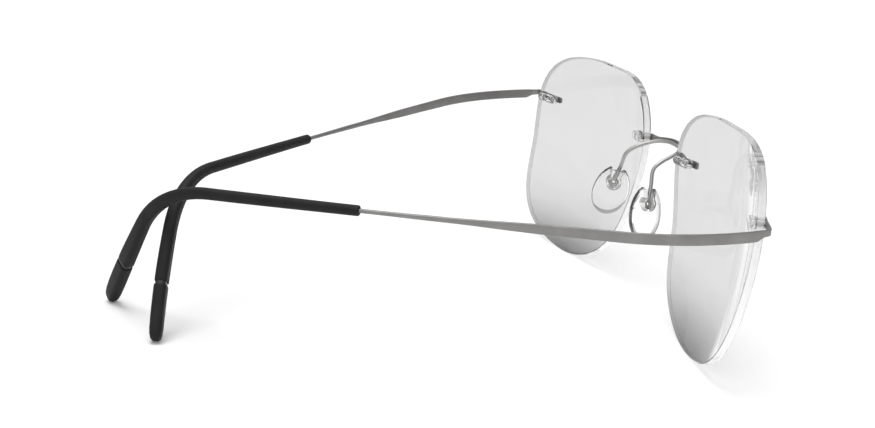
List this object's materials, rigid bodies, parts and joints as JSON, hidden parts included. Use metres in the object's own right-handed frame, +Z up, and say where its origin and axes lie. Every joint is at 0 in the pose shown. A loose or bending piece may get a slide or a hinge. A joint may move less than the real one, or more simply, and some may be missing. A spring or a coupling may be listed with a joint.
{
  "type": "rimless eyeglasses",
  "caption": "Rimless hingeless eyeglasses: two clear lenses, a titanium bridge with silicone nose pads and springy titanium temples in black sleeves.",
  "frame": {"origin": "on the table under the middle of the bounding box, with the glasses standing on their lens bottoms and temple tips", "axes": "+X towards the wearer's left, +Y back along the temples, +Z up"},
  "size_m": [0.1306, 0.1212, 0.0458],
  "materials": {
    "titanium": "satin",
    "lens_plastic": "polished and clear",
    "clear_plastic": "clear",
    "silicone": "clear",
    "black_rubber": "matte",
    "black_gloss": "gloss"
  },
  "bodies": {
    "front": {"lens_left": "lens_plastic", "lens_right": "lens_plastic", "temple_bushing_left": "clear_plastic", "temple_bushing_right": "clear_plastic", "bridge_bushing_left": "clear_plastic", "bridge_bushing_right": "clear_plastic", "temple_mount_left": "titanium", "temple_mount_right": "titanium", "bridge": "titanium", "pad_wire": "titanium"},
    "left_temple": {"temple_blade_left": "titanium", "temple_sleeve_left": "black_rubber", "tip_ring_left": "black_gloss", "tip_cap_left": "black_rubber"},
    "right_temple": {"temple_blade_right": "titanium", "temple_sleeve_right": "black_rubber", "tip_ring_right": "black_gloss", "tip_cap_right": "black_rubber"},
    "left_nose_pad": {"pad_box_left": "clear_plastic", "nose_pad_left": "silicone"},
    "right_nose_pad": {"pad_box_right": "clear_plastic", "nose_pad_right": "silicone"}
  },
  "joints": [
    {"name": "right_temple_flex", "type": "hinge", "parent": "front", "child": "right_temple", "pos_m": [-0.06471, -0.04759, 0.03249], "axis": [0, 0, 1], "range_deg": [0, 38], "stiffness_Nm_per_rad": 0.08},
    {"name": "left_temple_flex", "type": "hinge", "parent": "front", "child": "left_temple", "pos_m": [0.06499, -0.04759, 0.03249], "axis": [0, 0, -1], "range_deg": [0, 38], "stiffness_Nm_per_rad": 0.08},
    {"name": "right_nose_pad_rock", "type": "hinge", "parent": "front", "child": "right_nose_pad", "pos_m": [-0.00965, -0.05015, 0.02384], "axis": [0.2603, -0.9413, -0.215], "range_deg": [-5, 5]},
    {"name": "left_nose_pad_rock", "type": "hinge", "parent": "front", "child": "left_nose_pad", "pos_m": [0.00993, -0.05015, 0.02384], "axis": [0.2603, 0.9413, 0.215], "range_deg": [-5, 5]}
  ],
  "couplings": [
    {"joint": "left_temple_flex", "follows": "right_temple_flex", "ratio": 1}
  ]
}
